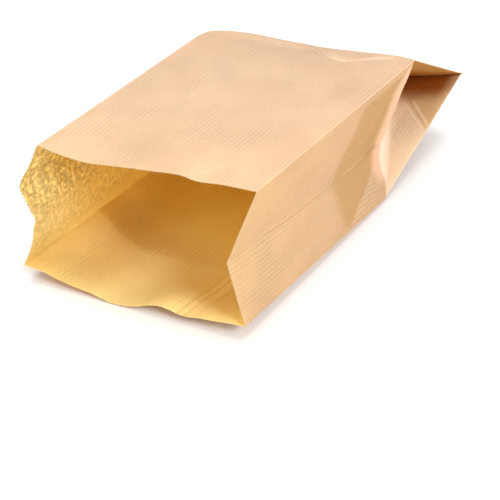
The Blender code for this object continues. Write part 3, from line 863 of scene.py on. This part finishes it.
        # painted highlights: short pale streaks on small creases of the right gusset
        for place, a, b in ((0.2290, 0.243, 0.258), (0.2345, 0.236, 0.246), (0.2440, 0.214, 0.224)):
            off = net.math("ABSOLUTE", net.math("SUBTRACT", u, place))
            run = net.math("MULTIPLY", net.range(v, a, a + 0.004, 0.0, 1.0), net.range(v, b - 0.004, b, 1.0, 0.0))
            col = net.mix(net.math("MULTIPLY", net.range(off, 0.0, 0.0009, 0.35, 0.0), run), col, (0.74, 0.64, 0.51, 1.0))
        # painted highlight along the ridge
        past = net.math("ADD", v, net.math("MULTIPLY", net.math("MINIMUM", net.math("SUBTRACT", u, 0.200), 0.060), 0.742))
        painted_ridge_light = net.math("MULTIPLY", net.range(past, 0.299, 0.309, 0.0, 1.0), net.range(past, 0.314, 0.320, 1.0, 0.0))
        painted_ridge_light = net.math("MULTIPLY", painted_ridge_light, net.math("MULTIPLY", net.range(u, 0.2010, 0.2060, 0.0, 1.0), net.range(u, 0.292, 0.306, 1.0, 0.0)))
        col = net.mix(net.math("MULTIPLY", painted_ridge_light, 0.60), col, (0.66, 0.62, 0.54, 1.0))

    bsdf = net.add("ShaderNodeBsdfPrincipled")
    net.put(bsdf, "Base Color", col)
    rough = net.range(cloud, 0.3, 0.7, 0.46 if not inside else 0.66, 0.62 if not inside else 0.80)
    rough = net.math("ADD", rough, net.math("MULTIPLY", rib_here, 0.10))
    net.put(bsdf, "Roughness", rough)
    bsdf.inputs["Specular IOR Level"].default_value = 0.42 if not inside else 0.25
    bsdf.inputs["IOR"].default_value = 1.47

    # relief: ribs, fibres and, on the left gusset, the crumple
    height = net.math("MULTIPLY", rib, 0.15 if not inside else 0.07)
    height = net.math("ADD", height, net.math("MULTIPLY", rib2, 0.02))
    height = net.math("MULTIPLY", height, patchy)
    height = net.math("ADD", height, net.math("MULTIPLY", fibre, 0.05))
    height = net.math("ADD", height, net.math("MULTIPLY", cloud, 0.35))
    height = net.math("ADD", height, net.math("MULTIPLY", net.math("MULTIPLY", crumple, crumpled), 3.0))
    # edges of the glued lap
    for place, w, h in ((0.320 + 0.0600, 0.0008, 0.5), (0.320 + 0.0535, 0.0008, 0.45), (0.320 + 0.0450, 0.0006, 0.3)):
        off = net.math("ABSOLUTE", net.math("SUBTRACT", u, place))
        line = net.range(off, 0.0, w, 1.0, 0.0)
        height = net.math("SUBTRACT", height, net.math("MULTIPLY", line, h))
    b = net.add("ShaderNodeBump")
    b.inputs["Strength"].default_value = 1.0
    b.inputs["Distance"].default_value = 0.0006
    net.put(b, "Height", height)
    net.put(bsdf, "Normal", b.outputs[0])

    thin = net.add("ShaderNodeBsdfTranslucent")
    net.put(thin, "Color", net.mix(1.0, col, glow, "MULTIPLY"))
    net.put(thin, "Normal", b.outputs[0])
    both = net.add("ShaderNodeMixShader")
    if inside:
        net.put(both, 0, net.math("SUBTRACT", 0.52, net.math("MULTIPLY", low, 0.15)))
    else:
        net.put(both, 0, net.math("SUBTRACT", 0.52, net.math("MULTIPLY", painted_facet_light, 0.42)))
    net.t.links.new(bsdf.outputs[0], both.inputs[1])
    net.t.links.new(thin.outputs[0], both.inputs[2])
    net.t.links.new(both.outputs[0], out.inputs["Surface"])
    return mat


OUTER = paper("kraft_outside", (0.496, 0.490, 0.390, 1), (0.468, 0.448, 0.338, 1), (0.520, 0.525, 0.433, 1),
              (1.93, 1.36, 0.88, 1), False)
INNER = paper("kraft_inside", (0.945, 0.785, 0.335, 1), (0.905, 0.73, 0.29, 1), (0.975, 0.83, 0.385, 1),
              (1.05, 0.92, 0.62, 1), True)

bag = bpy.data.objects.new("bag_sheet", build_bag())
bpy.context.scene.collection.objects.link(bag)
bag.data.materials.append(OUTER)
bag.data.materials.append(INNER)
thick = bag.modifiers.new("kraft_thickness", "SOLIDIFY")
thick.thickness = WALL * MM
thick.offset = 0.0
thick.use_even_offset = False
thick.use_quality_normals = True
thick.use_rim = True
thick.material_offset = 1
thick.material_offset_rim = 0

end_fold = bpy.data.objects.new("end_fold", build_end_fold())
lap = bpy.data.objects.new("back_lap", build_lap())
for obj, mat in ((end_fold, OUTER), (lap, INNER)):
    bpy.context.scene.collection.objects.link(obj)
    obj.data.materials.append(mat)
for obj in (bag, end_fold, lap):
    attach(obj, "root")
    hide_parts("paper_bag")

# ---- floor, light, camera -----------------------------------------------------------
bpy.ops.mesh.primitive_plane_add(size=12.0, location=(0.0, 0.2, -0.0002))
floor = bpy.context.object
floor.name = "floor"
fm = bpy.data.materials.new("pale_floor")
fm.use_nodes = True
fb = fm.node_tree.nodes["Principled BSDF"]
fb.inputs["Base Color"].default_value = (0.74, 0.74, 0.735, 1)
fb.inputs["Roughness"].default_value = 0.6
fb.inputs["Specular IOR Level"].default_value = 0.2
floor.data.materials.append(fm)

world = bpy.data.worlds.new("studio")
bpy.context.scene.world = world
world.use_nodes = True
world.node_tree.nodes["Background"].inputs["Color"].default_value = (1.0, 0.995, 0.985, 1)
world.node_tree.nodes["Background"].inputs["Strength"].default_value = 0.90


def area(name, place, target, size, power, colour=(1, 1, 1), size_y=None):
    data = bpy.data.lights.new(name, "AREA")
    data.shape = "RECTANGLE"
    data.size = size
    data.size_y = size_y or size
    data.energy = power
    data.color = colour
    obj = bpy.data.objects.new(name, data)
    obj.location = place
    obj.rotation_euler = (Vector(target) - Vector(place)).to_track_quat("-Z", "Y").to_euler()
    bpy.context.scene.collection.objects.link(obj)
    return obj


MIDDLE = Vector((0.0, -0.05, 0.06))
KEY_AZ, KEY_EL, KEY_FAR = math.atan2(0.826, 0.563), math.radians(32.0), 2.4
key_dir = Vector((math.sin(KEY_AZ) * math.cos(KEY_EL), -math.cos(KEY_AZ) * math.cos(KEY_EL), math.sin(KEY_EL)))
area("key", MIDDLE + key_dir * KEY_FAR, MIDDLE, 0.75, 45.0, (1.0, 1.0, 1.0))
area("overhead", (-0.3, 0.5, 2.4), (0.0, 0.0, 0.0), 2.0, 60.0, (1.0, 1.0, 1.0))

RIGHT = Vector((0.893772, 0.447236, 0.033899))
DOWN = Vector((0.244601, -0.422668, -0.872644))
FWD = Vector((-0.375956, 0.788236, -0.487163))
camera = bpy.data.cameras.new("camera")
camera.sensor_width = 36.0
camera.lens = 2211.0 / 500.0 * 36.0
camera.clip_start, camera.clip_end = 0.05, 50.0
cam = bpy.data.objects.new("camera", camera)
turn = Matrix((RIGHT, -DOWN, -FWD)).transposed()
cam.matrix_world = Matrix.Translation((0.73138, -1.4969, 0.9008)) @ turn.to_4x4()
bpy.context.scene.collection.objects.link(cam)
bpy.context.scene.camera = cam
bpy.context.scene.view_settings.view_transform = "Standard"
bpy.context.scene.view_settings.look = "None"

bpy.context.view_layer.update()
